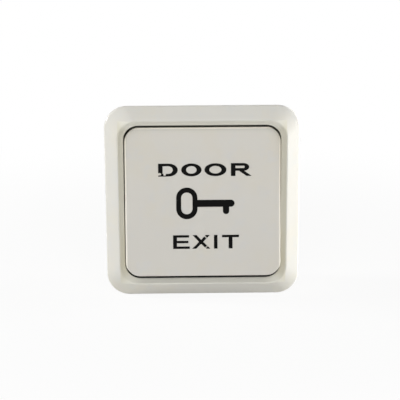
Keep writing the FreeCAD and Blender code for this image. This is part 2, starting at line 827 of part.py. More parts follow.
# The return spring stands in the cover's cup and ends just short of the tilted deck
def make_return_spring():
    level = "pivot_level - spring_drop"
    reach = "(spring_drop - return_spring_radius) * sin(rest_tilt * 1deg)"
    front = f"pivot_depth + deck_back * cos(rest_tilt * 1deg) + {reach} - spring_seat_gap"
    back = "strap_back + spring_cup_floor + spring_seat_gap"
    spring = coil("return_spring_radius", "return_wire", (back, front), "return_coils", level)
    part(spring, "return_spring")


# Printed legend, drawn on the plate's front face
def printed(x, z):
    return box(x, ("pivot_offset", "pivot_offset + print_thickness"), z)


def after(span, gap, width):
    return (f"{span[1]} + {gap}", f"{span[1]} + {gap} + {width}")


def middle_of(span):
    return f"(({span[0]}) + ({span[1]})) / 2"


def hollow(x, z, corner, rim_across, rim_up):
    # A rounded ring as wide as its span
    body = add_body("ring")
    width = f"({x[1]}) - ({x[0]})"
    height = f"({z[1]}) - ({z[0]})"
    place = (middle_of(x), middle_of(z))
    outer = rounded_rectangle(body, "pivot_offset", width, height, corner, *place)
    pad(body, outer, "print_thickness")
    inner = [f"{width} - 2 * {rim_across}", f"{height} - 2 * {rim_up}", f"{corner} - {rim_up}"]
    hole = rounded_rectangle(body, "pivot_offset", *inner, *place)
    pocket(body, hole, "print_thickness + overcut")
    return body


def oval(x, z, rim, thickness):
    outline = doc.addObject("Part::Ellipse", "oval_outline")
    bind(outline, "MajorRadius", f"(({x[1]}) - ({x[0]})) / 2 - ({rim[0]})")
    bind(outline, "MinorRadius", f"(({z[1]}) - ({z[0]})) / 2 - ({rim[1]})")
    outline.Placement.Rotation = TURN_TO_FRONT
    place_at(outline, middle_of(x), "pivot_offset", middle_of(z))
    solid = doc.addObject("Part::Extrusion", "oval")
    solid.Base = outline
    solid.DirMode = "Custom"
    solid.Dir = Vector(0, -1, 0)
    solid.Solid = True
    bind(solid, "LengthFwd", thickness)
    return solid


def oval_ring(x, z):
    # Thick sides, and a thin top and bottom
    outside = oval(x, z, ("0", "0"), "print_thickness")
    return cut(outside, oval(x, z, ("print_stem", "print_bar"), "print_thickness + overcut"))


def stem_of(x, z):
    return printed((x[0], f"{x[0]} + print_stem"), z)


def bars_of(x, z, levels):
    # Levels are 0 for the foot, 0.5 for the middle and 1 for the top
    bars = []
    for level in levels:
        low = f"{z[0]} + {level} * (({z[1]}) - ({z[0]}) - print_bar)"
        bars.append(printed(x, (low, f"{low} + print_bar")))
    return bars


def slanted(foot, top, z, stroke):
    # A stroke whose left side runs from foot to top, as wide across as given
    body = add_body("stroke")
    corners = [(foot, z[0]), (f"{foot} + {stroke}", z[0]), (f"{top} + {stroke}", z[1]), (top, z[1])]
    pad(body, polygon(body, "pivot_offset", corners), "print_thickness")
    return body


def letter_d(x, z):
    ring = oval_ring((f"{x[1]} - 2 * round_half", x[1]), z)
    left_side = (f"{x[1]} - 2 * round_half - overcut", f"{x[1]} - round_half")
    depth = ("pivot_offset - overcut", "pivot_offset + print_thickness + overcut")
    bowl = cut(ring, box(left_side, depth, (f"{z[0]} - overcut", f"{z[1]} + overcut")))
    return fuse(bowl, stem_of(x, z), *bars_of((x[0], left_side[1]), z, (0, 1)))


def letter_r(x, z):
    bowl_z = (f"{z[1]} - bowl_height", z[1])
    bowl = hollow(x, bowl_z, "bowl_round", "print_stem", "print_bar")
    left = (x[0], middle_of(x))
    leg_z = (z[0], f"{bowl_z[0]} + print_bar / 2")
    leg = slanted(f"{x[1]} - leg_stroke", middle_of(x), leg_z, "leg_stroke")
    return fuse(bowl, stem_of(x, z), *bars_of(left, bowl_z, (0, 1)), leg)


def letter_e(x, z):
    return fuse(stem_of(x, z), *bars_of(x, z, (0, 0.5, 1)))


def letter_x(x, z):
    right = f"{x[1]} - cross_stroke"
    rising = slanted(x[0], right, z, "cross_stroke")
    return fuse(rising, slanted(right, x[0], z, "cross_stroke"))


def letter_t(x, z):
    stem = printed(centred(middle_of(x), "print_stem"), z)
    return fuse(stem, *bars_of(x, z, (1,)))


# Key: a long round bow, then the shank and one tooth, both with rounded ends
def key_sign():
    bow_x = ("bow_left", "bow_left + bow_width")
    bow_z = centred("key_middle", "bow_height")
    face = ("pivot_offset", "pivot_offset + print_thickness")
    shank_start = "bow_left + bow_width - bow_rim_across / 2"
    shank_stop = "shank_end - shank_height / 2"
    tooth_low = "key_middle - tooth_drop + tooth_width / 2"
    return fuse(
        hollow(bow_x, bow_z, "bow_round", "bow_rim_across", "bow_rim_up"),
        printed((shank_start, shank_stop), centred("key_middle", "shank_height")),
        rod("shank_height / 2", face, shank_stop, "key_middle"),
        printed(centred("tooth_middle", "tooth_width"), (tooth_low, "key_middle")),
        rod("tooth_width / 2", face, "tooth_middle", tooth_low),
    )


def make_legend_print():
    signs = [key_sign()]
    x = centred("-1.5 * (door_letter + door_gap)", "door_letter")
    for letter in (letter_d, oval_ring, oval_ring, letter_r):
        signs.append(letter(x, centred("door_middle", "door_height")))
        x = after(x, "door_gap", "door_letter")
    start = "exit_shift - (3 * exit_letter + print_stem + 3 * exit_gap) / 2"
    x = (start, f"{start} + exit_letter")
    z = centred("exit_middle", "exit_height")
    signs.append(letter_e(x, z))
    x = after(x, "exit_gap", "exit_letter")
    signs.append(letter_x(x, z))
    x = after(x, "exit_gap", "print_stem")
    signs.append(printed(x, z))
    x = after(x, "exit_gap", "exit_letter")
    signs.append(letter_t(x, z))
    part(on_rocker(group(*signs)), "legend_print")


def check_and_export():
    doc.recompute()
    for thing in doc.Objects:
        if "Invalid" in thing.State or "Error" in thing.State:
            raise SystemExit(f"{thing.Label} failed: {thing.State}")
    os.makedirs("parts", exist_ok=True)
    for thing in parts:
        shape = thing.Shape
        if shape.isNull() or not shape.isValid():
            raise SystemExit(f"{thing.Label} has no valid shape")
        shape.exportStep(f"parts/{thing.Label}.step")
        print(thing.Label, len(shape.Solids), round(shape.Volume, 1))


make_cover_frame()
make_base_box()
make_mounting_strap()
make_strap_screws()
make_mechanism_body()
make_mechanism_cover()
make_mechanism_rivets()
make_strip("open_strip")
make_strip("closed_strip")
make_strip("common_strip", ridge=True)
make_fixed_contacts()
make_terminals()
make_contact_lever()
make_push_plate()
make_rocker_cradle()
make_plunger()
make_return_spring()
make_legend_print()
check_and_export()
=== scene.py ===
# Surface mounted door release switch: its looks, light and camera.
# Metres and Z up as in the frame. The sizes below are in millimetres, and depth means the
# distance in front of the wall, so a depth of 10 lies at Y = -0.010.
import json
import math

import bmesh
import bpy
from mathutils import Matrix, Vector


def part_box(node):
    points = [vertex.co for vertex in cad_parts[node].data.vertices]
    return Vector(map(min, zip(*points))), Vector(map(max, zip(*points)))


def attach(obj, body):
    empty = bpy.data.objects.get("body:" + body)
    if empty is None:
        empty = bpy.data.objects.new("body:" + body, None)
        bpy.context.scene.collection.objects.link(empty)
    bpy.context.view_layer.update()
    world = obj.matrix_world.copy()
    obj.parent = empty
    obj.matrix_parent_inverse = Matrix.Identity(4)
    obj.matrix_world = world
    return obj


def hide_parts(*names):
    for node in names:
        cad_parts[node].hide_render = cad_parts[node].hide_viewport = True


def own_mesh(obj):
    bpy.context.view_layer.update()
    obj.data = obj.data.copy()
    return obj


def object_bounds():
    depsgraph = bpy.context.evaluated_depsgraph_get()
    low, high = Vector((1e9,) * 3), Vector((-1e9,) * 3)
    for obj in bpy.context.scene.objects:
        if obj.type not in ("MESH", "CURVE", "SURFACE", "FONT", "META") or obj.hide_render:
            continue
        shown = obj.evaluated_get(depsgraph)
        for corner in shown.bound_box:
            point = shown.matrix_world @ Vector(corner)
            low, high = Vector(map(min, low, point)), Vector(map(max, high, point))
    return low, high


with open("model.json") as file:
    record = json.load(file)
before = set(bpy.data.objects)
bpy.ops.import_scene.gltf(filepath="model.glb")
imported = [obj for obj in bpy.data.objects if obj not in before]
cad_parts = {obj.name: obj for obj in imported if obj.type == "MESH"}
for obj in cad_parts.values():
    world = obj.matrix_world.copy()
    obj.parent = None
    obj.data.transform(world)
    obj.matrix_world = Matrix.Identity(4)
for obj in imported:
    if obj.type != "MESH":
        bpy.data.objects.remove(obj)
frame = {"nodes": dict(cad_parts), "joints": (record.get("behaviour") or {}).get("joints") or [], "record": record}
nodes = frame["nodes"]
cadLow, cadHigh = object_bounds()
joints = {joint["name"]: joint for joint in frame["joints"]}
quarterTurn = math.pi / 2
pivot = Vector(joints["plate_rock"]["pos_m"])
restTilt = math.radians(-7)
nearEnough = 0.01
white = (1, 1, 1, 1)
rockerPlace = Matrix.Translation(pivot) @ Matrix.Rotation(restTilt, 4, "X")
print("frame loaded:", len(nodes), "nodes")


def mm(value):
    return value * 0.001


def depthOf(point):
    return -point.y * 1000


def spanOf(node, axis):
    # How far a node of the frame reaches along an axis, in millimetres
    low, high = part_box(node)
    return (high[axis] - low[axis]) * 1000


def deselectAll():
    if bpy.context.object and bpy.context.object.mode != "OBJECT":
        bpy.ops.object.mode_set(mode="OBJECT")
    bpy.ops.object.select_all(action="DESELECT")


def makeCurrent(piece):
    deselectAll()
    piece.select_set(True)
    bpy.context.view_layer.objects.active = piece


def pick(kind, test):
    # Selects the edges or faces of the piece in edit mode that pass the test
    bpy.ops.mesh.select_mode(type=kind)
    bpy.ops.mesh.select_all(action="DESELECT")
    mesh = bmesh.from_edit_mesh(bpy.context.object.data)
    items = {"EDGE": mesh.edges, "FACE": mesh.faces}[kind]
    for item in items:
        item.select_set(bool(test(item)))
    bmesh.update_edit_mesh(bpy.context.object.data)


def startPiece(name):
    # An empty mesh in edit mode, ready for primitives
    deselectAll()
    bpy.ops.mesh.primitive_plane_add(size=mm(1))
    piece = bpy.context.object
    piece.name = piece.data.name = name
    bpy.ops.object.mode_set(mode="EDIT")
    bpy.ops.mesh.delete(type="VERT")
    return piece


def addOutline(width, height, corner, depth, steps, x=0):
    # A rounded rectangle that faces the front, left as edges only
    bpy.ops.mesh.select_mode(type="VERT")
    bpy.ops.mesh.select_all(action="DESELECT")
    middle = (mm(x), -mm(depth), 0)
    bpy.ops.mesh.primitive_plane_add(size=1, location=middle, rotation=(quarterTurn, 0, 0))
    bpy.ops.transform.resize(value=(mm(width), 1, mm(height)), center_override=middle)
    bpy.ops.mesh.bevel(offset=mm(corner), segments=steps, affect="VERTICES")
    bpy.ops.mesh.delete(type="ONLY_FACE")


def ringEdges(mesh, count, start, ring):
    # Rings are runs of vertices, as many in each, in the order in which they were added
    mesh.verts.index_update()
    return [
        edge for edge in mesh.edges
        if {(vertex.index - start) // count for vertex in edge.verts} == {ring}
    ]


def joinRings(mesh, count, start, first, second):
    # A face between each edge of a ring and the like edge of the other
    mesh.verts.ensure_lookup_table()
    step = (second - first) * count
    for edge in ringEdges(mesh, count, start, first):
        one, other = edge.verts
        opposite = (mesh.verts[other.index + step], mesh.verts[one.index + step])
        mesh.faces.new((one, other, *opposite))


def loftOutlines(outlines, steps, ends, x=0):
    # Joins outline to outline. Ends are "closed" for a loop, or "capped"
    start = len(bmesh.from_edit_mesh(bpy.context.object.data).verts)
    for outline in outlines:
        addOutline(*outline, steps, x)
    mesh = bmesh.from_edit_mesh(bpy.context.object.data)
    count = 4 * (steps + 1)  # Vertices at the four corners of an outline
    last = len(outlines) - 1
    pairs = [(index, index + 1) for index in range(last)]
    if ends == "closed":
        pairs.append((last, 0))
    for pair in pairs:
        joinRings(mesh, count, start, *pair)
    if ends == "capped":
        for ring in (0, last):
            bmesh.ops.holes_fill(mesh, edges=ringEdges(mesh, count, start, ring), sides=0)
    bmesh.update_edit_mesh(bpy.context.object.data)
    bpy.ops.mesh.select_all(action="SELECT")
    bpy.ops.mesh.normals_make_consistent(inside=False)


def turnsAt(edge, depth, leastTurn=0.1):
    # Both ends lie at that depth, and the surface turns there
    level = all(abs(depthOf(vertex.co) - depth) < nearEnough for vertex in edge.verts)
    return level and edge.calc_face_angle(0) > leastTurn


def roundEdges(depth, radius, segments):
    pick("EDGE", lambda edge: turnsAt(edge, depth))
    bpy.ops.mesh.bevel(offset=mm(radius), segments=segments, affect="EDGES")


def addBlock(x, depth, z):
    # A block whose x, depth and z are each a pair, from and to
    bpy.ops.mesh.select_all(action="DESELECT")
    middle = (mm(sum(x) / 2), -mm(sum(depth) / 2), mm(sum(z) / 2))
    bpy.ops.mesh.primitive_cube_add(size=1, location=middle)
    size = (mm(x[1] - x[0]), mm(depth[1] - depth[0]), mm(z[1] - z[0]))
    bpy.ops.transform.resize(value=size, center_override=middle)


def addRod(radius, depth, x=0, z=0, vertices=48):
    # A round bar that points out of the wall
    bpy.ops.mesh.select_all(action="DESELECT")
    bpy.ops.mesh.primitive_cylinder_add(
        vertices=vertices,
        radius=mm(radius),
        depth=mm(depth[1] - depth[0]),
        location=(mm(x), -mm(sum(depth) / 2), mm(z)),
        rotation=(quarterTurn, 0, 0),
    )


def centred(middle, size):
    return (middle - size / 2, middle + size / 2)


def toSide(side, span):
    return span if side > 0 else (-span[1], -span[0])


def finishEditing(piece):
    bpy.ops.object.mode_set(mode="OBJECT")
    makeCurrent(piece)


def useModifier(piece, kind, **settings):
    makeCurrent(piece)
    bpy.ops.object.modifier_add(type=kind)
    modifier = piece.modifiers[-1]
    for name, value in settings.items():
        setattr(modifier, name, value)
    bpy.ops.object.modifier_apply(modifier=modifier.name)


def softenEdges(piece, width, segments=2, angle=35):
    useModifier(
        piece, "BEVEL", width=mm(width), segments=segments, limit_method="ANGLE",
        angle_limit=math.radians(angle), use_clamp_overlap=True, miter_outer="MITER_ARC",
    )


def combine(piece, other, operation):
    # Joins another piece to this one, or cuts it out of it
    useModifier(piece, "BOOLEAN", object=other, operation=operation, solver="EXACT", use_self=True)
    bpy.data.objects.remove(other)


def smoothSurface(piece, angle=32):
    makeCurrent(piece)
    bpy.ops.object.shade_smooth_by_angle(angle=math.radians(angle))
    useModifier(piece, "WEIGHTED_NORMAL", keep_sharp=True, weight=60)


def settle(piece, place=None):
    # Puts the place into the mesh, so that the object stays at the origin
    if place is not None:
        piece.matrix_world = place
    makeCurrent(piece)
    bpy.ops.object.transform_apply(location=True, rotation=True, scale=True)


class Value:
    # Wraps a socket, so that sums on shader values read as sums
    def __init__(self, owner, socket):
        self.owner = owner
        self.socket = socket

    def math(self, operation, *others):
        sockets = dict(enumerate((self, *others)))
        return self.owner.node("ShaderNodeMath", {"operation": operation}, sockets)

    def __add__(self, other):
        return self.math("ADD", other)

    def __sub__(self, other):
        return self.math("SUBTRACT", other)

    def __rsub__(self, other):
        return self.owner.node("ShaderNodeMath", {"operation": "SUBTRACT"}, {0: other, 1: self})

    def __mul__(self, other):
        return self.math("MULTIPLY", other)

    def __truediv__(self, other):
        return self.math("DIVIDE", other)

    def __pow__(self, other):
        return self.math("POWER", other)

    __radd__ = __add__

    def size(self):
        return self.math("ABSOLUTE")

    def orMore(self, other):
        return self.math("MAXIMUM", other)

    def fade(self, start, end):
        # 0 at the start, 1 at the end, and smooth between
        settings = {"interpolation_type": "SMOOTHSTEP"}
        sockets = {"Value": self, "From Min": start, "From Max": end}
        return self.owner.node("ShaderNodeMapRange", settings, sockets)

    def swing(self, depth):
        # Noise made to swing about 0, since its own middle is a half
        return (self - 0.5) * depth


class Nodes:
    # A node tree, with sockets that take numbers, colours and wrapped values
    def __init__(self, tree):
        self.tree = tree

    def feed(self, node, sockets):
        for name, value in sockets.items():
            if isinstance(value, Value):
                self.tree.links.new(value.socket, node.inputs[name])
            else:
                node.inputs[name].default_value = value

    def node(self, kind, settings=None, sockets=None, output=0):
        made = self.tree.nodes.new(kind)
        for name, value in (settings or {}).items():
            setattr(made, name, value)
        self.feed(made, sockets or {})
        return Value(self, made.outputs[output])

    def whiteRays(self):
        # 1 for rays from the camera, and for those that are reflected or pass through
        rays = self.node("ShaderNodeLightPath").socket.node.outputs
        camera, glossy, through = (
            Value(self, rays[name])
            for name in ("Is Camera Ray", "Is Glossy Ray", "Is Transmission Ray")
        )
        return camera.orMore(glossy).orMore(through)


class Finish(Nodes):
    # A material and the nodes that are put in it
    def __init__(self, name, **shader):
        self.material = bpy.data.materials.new(name)
        self.material.use_nodes = True
        super().__init__(self.material.node_tree)
        self.shader = self.tree.nodes["Principled BSDF"]
        self.set(**shader)
        self.place = self.node("ShaderNodeTexCoord", output="Object")

    def set(self, **shader):
        self.feed(self.shader, {name.replace("_", " "): value for name, value in shader.items()})

    def axes(self, place=None):
        split = self.node("ShaderNodeSeparateXYZ", sockets={0: place or self.place})
        return [Value(self, socket) for socket in split.socket.node.outputs]

    def moved(self, location=(0, 0, 0), rotation=(0, 0, 0), scale=(1, 1, 1)):
        settings = {"vector_type": "POINT"}
        sockets = {
            "Vector": self.place, "Location": location, "Rotation": rotation, "Scale": scale,
        }
        return self.node("ShaderNodeMapping", settings, sockets)

    def noise(self, scale, detail=3, roughness=0.5, place=None):
        sockets = {
            "Vector": place or self.place, "Scale": scale, "Detail": detail,
            "Roughness": roughness,
        }
        return self.node("ShaderNodeTexNoise", sockets=sockets)

    def blend(self, mask, first, second):
        # Sockets 6, 7 and 2 are the colour ones of the mixing node
        return self.node("ShaderNodeMix", {"data_type": "RGBA"}, {0: mask, 6: first, 7: second}, 2)

    def relief(self, height, strength, distance=0.0001):
        sockets = {"Strength": strength, "Distance": distance, "Height": height}
        self.set(Normal=self.node("ShaderNodeBump", sockets=sockets))


def tone(code):
    # A colour as it is written in a picture, made linear
    def linear(share):
        return share / 12.92 if share <= 0.04045 else ((share + 0.055) / 1.055) ** 2.4

    return (*(linear(int(code[index:index + 2], 16) / 255) for index in (0, 2, 4)), 1)


print("tools ready")


plasticLooks = {
    "frame": {
        "colour": "D6D4CD", "warm": "D8D4C8", "cool": "D3D3CF", "gloss": 0.34, "grain": 0.05,
    },
    "plate": {
        "colour": "D3D0C9", "warm": "D4CFC3", "cool": "D0CFCC", "gloss": 0.4, "grain": 0.06,
    },
    "box": {
        "colour": "D8D5CA", "warm": "DAD4C1", "cool": "D5D4CD", "gloss": 0.46, "grain": 0.12,
    },
    "nylon": {
        "colour": "E0DFD6", "warm": "DEDAC8", "cool": "DCDDD8", "gloss": 0.4, "grain": 0.05,
    },
    "acetal": {
        "colour": "E8E8E3", "warm": "E6E3D8", "cool": "E4E6E4", "gloss": 0.3, "grain": 0.02,
    },
    "thermoset": {
        "colour": "34302C", "warm": "3B322A", "cool": "2C2B2A", "gloss": 0.32, "grain": 0.03,
    },
}

# The grain is finer along the axes with the larger numbers
metalLooks = {
    "zincSteel": {
        "colour": "C9CBCB", "dull": "B2B6BA", "roughness": 0.3, "grain": (900, 900, 90),
    },
    "screwSteel": {
        "colour": "C2C2BF", "dull": "A6A7A7", "roughness": 0.26, "grain": (700, 120, 700),
    },
    "springSteel": {
        "colour": "B9B9B9", "dull": "96979A", "roughness": 0.22, "grain": (600, 300, 600),
    },
    "rivetBrass": {
        "colour": "D9BC78", "dull": "B8935A", "roughness": 0.28, "grain": (500, 500, 500),
    },
    "contactBrass": {
        "colour": "DEC07C", "dull": "C09A5C", "roughness": 0.25, "grain": (1400, 1400, 120),
    },
    "contactSilver": {
        "colour": "E4E4E1", "dull": "BDBBB6", "roughness": 0.2, "grain": (500, 500, 500),
    },
}


# A scale is about how many patches a metre holds, and a fade runs between two of the noise's values
moulding = {
    "cloudScale": 60, "cloudFade": (0.46, 0.68), "cloudShare": 0.6,
    "patchScale": 140, "patchFade": (0.5, 0.7), "patchShift": (0.31, 0.17, 0.05),
    "smearScale": 110, "smearSwing": 0.12, "grainScale": 4200, "specular": 0.5,
}


def mouldGrain(finish, strength):
    # The fine grain that a spark-eroded mould leaves
    finish.relief(finish.noise(moulding["grainScale"], detail=2, roughness=0.7), strength)


def mouldedPlastic(name, look, paintLight=None):
    # Faint clouds of a warmer and a cooler tone, and smears in the gloss
    finish = Finish(name)
    clouds = finish.noise(moulding["cloudScale"], detail=3, roughness=0.6)
    elsewhere = finish.moved(location=moulding["patchShift"])
    patches = finish.noise(moulding["patchScale"], detail=4, roughness=0.6, place=elsewhere)
    smears = finish.noise(moulding["smearScale"], detail=4, roughness=0.65)
    warmth = clouds.fade(*moulding["cloudFade"]) * moulding["cloudShare"]
    coolness = patches.fade(*moulding["patchFade"]) * moulding["cloudShare"]
    shade = finish.blend(warmth, tone(look["colour"]), tone(look["warm"]))
    shade = finish.blend(coolness, shade, tone(look["cool"]))
    roughness = look["gloss"] + smears.swing(moulding["smearSwing"])
    # Some finishes lay painted shade and a painted highlight over this, and the painted shade is made rougher too
    if paintLight:
        shade, paintedGapShade = paintLight(finish, shade)
        roughness = roughness + paintedGapShade * (1 - look["gloss"])
    finish.set(Base_Color=shade, Roughness=roughness, Specular_IOR_Level=moulding["specular"])
    mouldGrain(finish, look["grain"])
    return finish.material


# Sizes of the cover's rim and of the plate's face, which the painted shade and highlight follow as well
coverRim = {"ridgeInset": 5.6, "bandWidth": 2.1, "bandDrop": 2.1}
plateFace = {"front": 6, "height": 61.8, "shift": 0.14}

# The gap round the plate is darkened with painted shade, and the plate's edges are brightened with a
# painted highlight. The recess beside the plate has a warmer painted shade at its sides and a paler
# painted light above and below. Each fade runs between two distances past a line, in millimetres
paintedLightLook = {
    "paintedGapShade": "060504", "paintedShadeShare": 0.97, "edge": "FBF6EA", "highlightWidth": 0.65,
    "recessShadeTint": "D0CCBB", "recessLightTint": "E2E0D5", "recessTintShare": 0.9,
    "recessFade": (-0.2, 0.1), "cornerFade": (-3, 3), "openingFade": (0.1, 0.3),
    "bandFade": (-0.1, 0.1), "behindFade": (0, 0.3), "highlightFade": (-0.1, 0.1),
    "skirtFade": (-0.12, -0.02), "skirtBehindFade": (0.15, 0.35),
    "seamSlope": 0.34, "seamLevel": 7, "seamTurn": 4, "seamBlur": 5,
}


def onPlate(finish):
    # Across, behind the front face, and up, in millimetres and in the plate's own directions
    unturn = Matrix.Rotation(-restTilt, 3, "X")
    place = finish.moved(location=-(unturn @ pivot), rotation=(-restTilt, 0, 0))
    x, y, z = finish.axes(place)
    return x * 1000, y * 1000 + plateFace["front"], z * 1000


def gapShadeReach(x, z):
    # 1 where the painted gap shade is laid. Along the sides it stops below a line that rises to the right
    sideways = (x.size() - z.size()).fade(0, paintedLightLook["seamTurn"])
    rise = z - x * paintedLightLook["seamSlope"] - paintedLightLook["seamLevel"]
    closed = 1 - rise.fade(-paintedLightLook["seamBlur"], paintedLightLook["seamBlur"])
    return 1 - sideways * closed


def paintedOpeningShade(finish, shade):
    # Painted shade in a warmer tone at the sides of the recess and painted light in a paler one
    # above and below, and dark painted shade on the wall of the opening, where it lies behind
    # the plate's face
    x, y, z = (axis * 1000 for axis in finish.axes())
    recessHalf = spanOf("cover_frame", 0) / 2 - coverRim["ridgeInset"]
    openingHalf = recessHalf - coverRim["bandWidth"]
    bandDepth = depthOf(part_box("cover_frame")[0]) - coverRim["bandDrop"]
    reach = x.size().orMore(z.size())
    recess = 1 - (reach - recessHalf).fade(*paintedLightLook["recessFade"])
    sideways = (x.size() - z.size()).fade(*paintedLightLook["cornerFade"])
    # Painted shade at the sides of the recess, and painted light above and below
    recessTint = finish.blend(sideways, tone(paintedLightLook["recessLightTint"]), tone(paintedLightLook["recessShadeTint"]))
    shade = finish.blend(recess * paintedLightLook["recessTintShare"], shade, recessTint)
    inside = 1 - (reach - openingHalf).fade(*paintedLightLook["openingFade"])
    below = (y + bandDepth).fade(*paintedLightLook["bandFade"])
    behind = onPlate(finish)[1].fade(*paintedLightLook["behindFade"])
    # Dark painted shade in the gap behind the plate's face
    paintedGapShade = inside * below * behind * gapShadeReach(x, z)
    return finish.blend(paintedGapShade * paintedLightLook["paintedShadeShare"], shade, tone(paintedLightLook["paintedGapShade"])), paintedGapShade


def paintedPlateLight(finish, shade):
    # A painted highlight on the edges at the sides and the top, and dark painted shade on the side walls
    x, behind, z = onPlate(finish)
    halfHeight = plateFace["height"] / 2
    sideways = (x - plateFace["shift"]).size() - spanOf("push_plate", 0) / 2
    # The painted highlight, a pale band along the plate's edges
    paintedEdgeHighlight = (sideways.orMore(z - halfHeight) + paintedLightLook["highlightWidth"]).fade(*paintedLightLook["highlightFade"])
    skirt = sideways.orMore(z.size() - halfHeight).fade(*paintedLightLook["skirtFade"])
    paintedGapShade = skirt * behind.fade(*paintedLightLook["skirtBehindFade"]) * gapShadeReach(x, z)
    shade = finish.blend(paintedEdgeHighlight, shade, tone(paintedLightLook["edge"]))
    return finish.blend(paintedGapShade * paintedLightLook["paintedShadeShare"], shade, tone(paintedLightLook["paintedGapShade"])), paintedGapShade


plating = {
    "cloudScale": 240, "cloudFade": (0.4, 0.7), "cloudShare": 0.7, "grainSwing": 0.24,
    "relief": 0.12,
}


def platedMetal(name, look):
    # Bright metal with a drawn or rolled grain and cloudy plating
    finish = Finish(name, Metallic=1.0)
    clouds = finish.noise(plating["cloudScale"], detail=4, roughness=0.65)
    dullness = clouds.fade(*plating["cloudFade"]) * plating["cloudShare"]
    stretched = finish.moved(scale=look["grain"])
    grain = finish.noise(scale=1, detail=3, roughness=0.7, place=stretched)
    finish.set(
        Base_Color=finish.blend(dullness, tone(look["colour"]), tone(look["dull"])),
        Roughness=look["roughness"] + grain.swing(plating["grainSwing"]),
    )
    finish.relief(grain, plating["relief"])
    return finish.material


# Places where the print is chipped away, in millimetres on the plate's face, each turned by
# its own degrees
chips = {
    "stemFoot": {"x": -17.55, "z": 11.7, "across": 0.6, "up": 0.5, "turn": 0},
    "stemSide": {"x": -18.25, "z": 11.6, "across": 0.5, "up": 0.6, "turn": 0},
    "footBar": {"x": -15.5, "z": 11.5, "across": 0.55, "up": 0.45, "turn": 0},
    "upperArm": {"x": 1.2, "z": -14.65, "across": 0.28, "up": 1.1, "turn": 46},
    "lowerArm": {"x": 1.45, "z": -18.8, "across": 0.28, "up": 1.1, "turn": -44},
}


inkLook = {
    "dense": "020202", "thin": "080807", "cloudScale": 900, "cloudFade": (0.4, 0.75),
    "gloss": 0.6, "glossSwing": 0.2, "specular": 0.07, "grain": 0.05,
    "raggedScale": 2600, "raggedSwing": 1.2, "chipFade": (-0.06, 0.06),
}


def chipSpot(x, z, chip):
    # An oval that is 1 at its middle and 0 at its edge
    turn = math.radians(chip["turn"])
    right, high = x - chip["x"], z - chip["z"]
    across = (right * math.cos(turn) + high * math.sin(turn)) / chip["across"]
    up = (high * math.cos(turn) - right * math.sin(turn)) / chip["up"]
    return 1 - (across ** 2 + up ** 2)


def printedInk(name, look):
    # Dense black ink, a little uneven in gloss, and chipped at a few strokes
    finish = Finish(name)
    uneven = finish.noise(look["cloudScale"], detail=3, roughness=0.6)
    thinness = uneven.fade(*look["cloudFade"])
    x, _, z = onPlate(finish)
    bare, *others = (chipSpot(x, z, chip) for chip in chips.values())
    for other in others:
        bare = bare.orMore(other)
    ragged = finish.noise(look["raggedScale"], detail=3, roughness=0.6)
    chipped = (bare + ragged.swing(look["raggedSwing"])).fade(*look["chipFade"])
    finish.set(
        Base_Color=finish.blend(thinness, tone(look["dense"]), tone(look["thin"])),
        Roughness=look["gloss"] + uneven.swing(look["glossSwing"]),
        Specular_IOR_Level=look["specular"],
        Alpha=1 - chipped,
    )
    mouldGrain(finish, look["grain"])
    return finish.material


finishes = {
    # The frame and the plate carry painted shade in the gap, and the plate a painted highlight on its edges
    "ivory_frame": mouldedPlastic("ivoryFrame", plasticLooks["frame"], paintedOpeningShade),
    "ivory_plate": mouldedPlastic("ivoryPlate", plasticLooks["plate"], paintedPlateLight),
    "ivory_box": mouldedPlastic("ivoryBox", plasticLooks["box"]),
    "legend_black": printedInk("legendInk", inkLook),
    "zinc_steel": platedMetal("zincSteel", metalLooks["zincSteel"]),
    "screw_steel": platedMetal("screwSteel", metalLooks["screwSteel"]),
    "spring_steel": platedMetal("springSteel", metalLooks["springSteel"]),
    "dark_moulding": mouldedPlastic("darkThermoset", plasticLooks["thermoset"]),
    "light_moulding": mouldedPlastic("mouldedNylon", plasticLooks["nylon"]),
    "plunger_plastic": mouldedPlastic("whiteAcetal", plasticLooks["acetal"]),
    "rivet_brass": platedMetal("rivetBrass", metalLooks["rivetBrass"]),
    "contact_brass": platedMetal("contactBrass", metalLooks["contactBrass"]),
    "contact_silver": platedMetal("contactSilver", metalLooks["contactSilver"]),
}
slotOf = {item["node"]: item["material_slot"] for item in frame["record"]["subparts"]}


def dress(piece, slotName):
    piece.data.materials.clear()
    piece.data.materials.append(finishes[slotName])


def standFor(piece, nodeName, body):
    # The piece takes the node's finish, place in the motion and visibility
    dress(piece, slotOf[nodeName])
    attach(piece, body)
    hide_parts(nodeName)


print("finishes ready:", len(finishes))


coverFrame = {
    **coverRim,
    "corner": 9.3, "skirt": 1.5, "skirtWall": 1.8, "seatDrop": 0.6,
    "ridgeRise": 3.8, "ridgeCorner": 7.5, "openingCorner": 6.3,
    "tubeWall": 1.2, "tubeLength": 4,
    "clawPitch": 36, "clawWidth": 8, "clawLength": 7.5, "clawStep": 0.7, "clawRoot": 0.8,
    "clawHook": 0.9, "hookHeight": 1.3, "hookLead": 0.55, "clawRound": 0.2,
    "bandSag": 0.25, "edgeRound": 0.7, "ridgeRound": 0.6, "openingRound": 0.2,
    "innerRound": 0.25, "steps": 16,
}


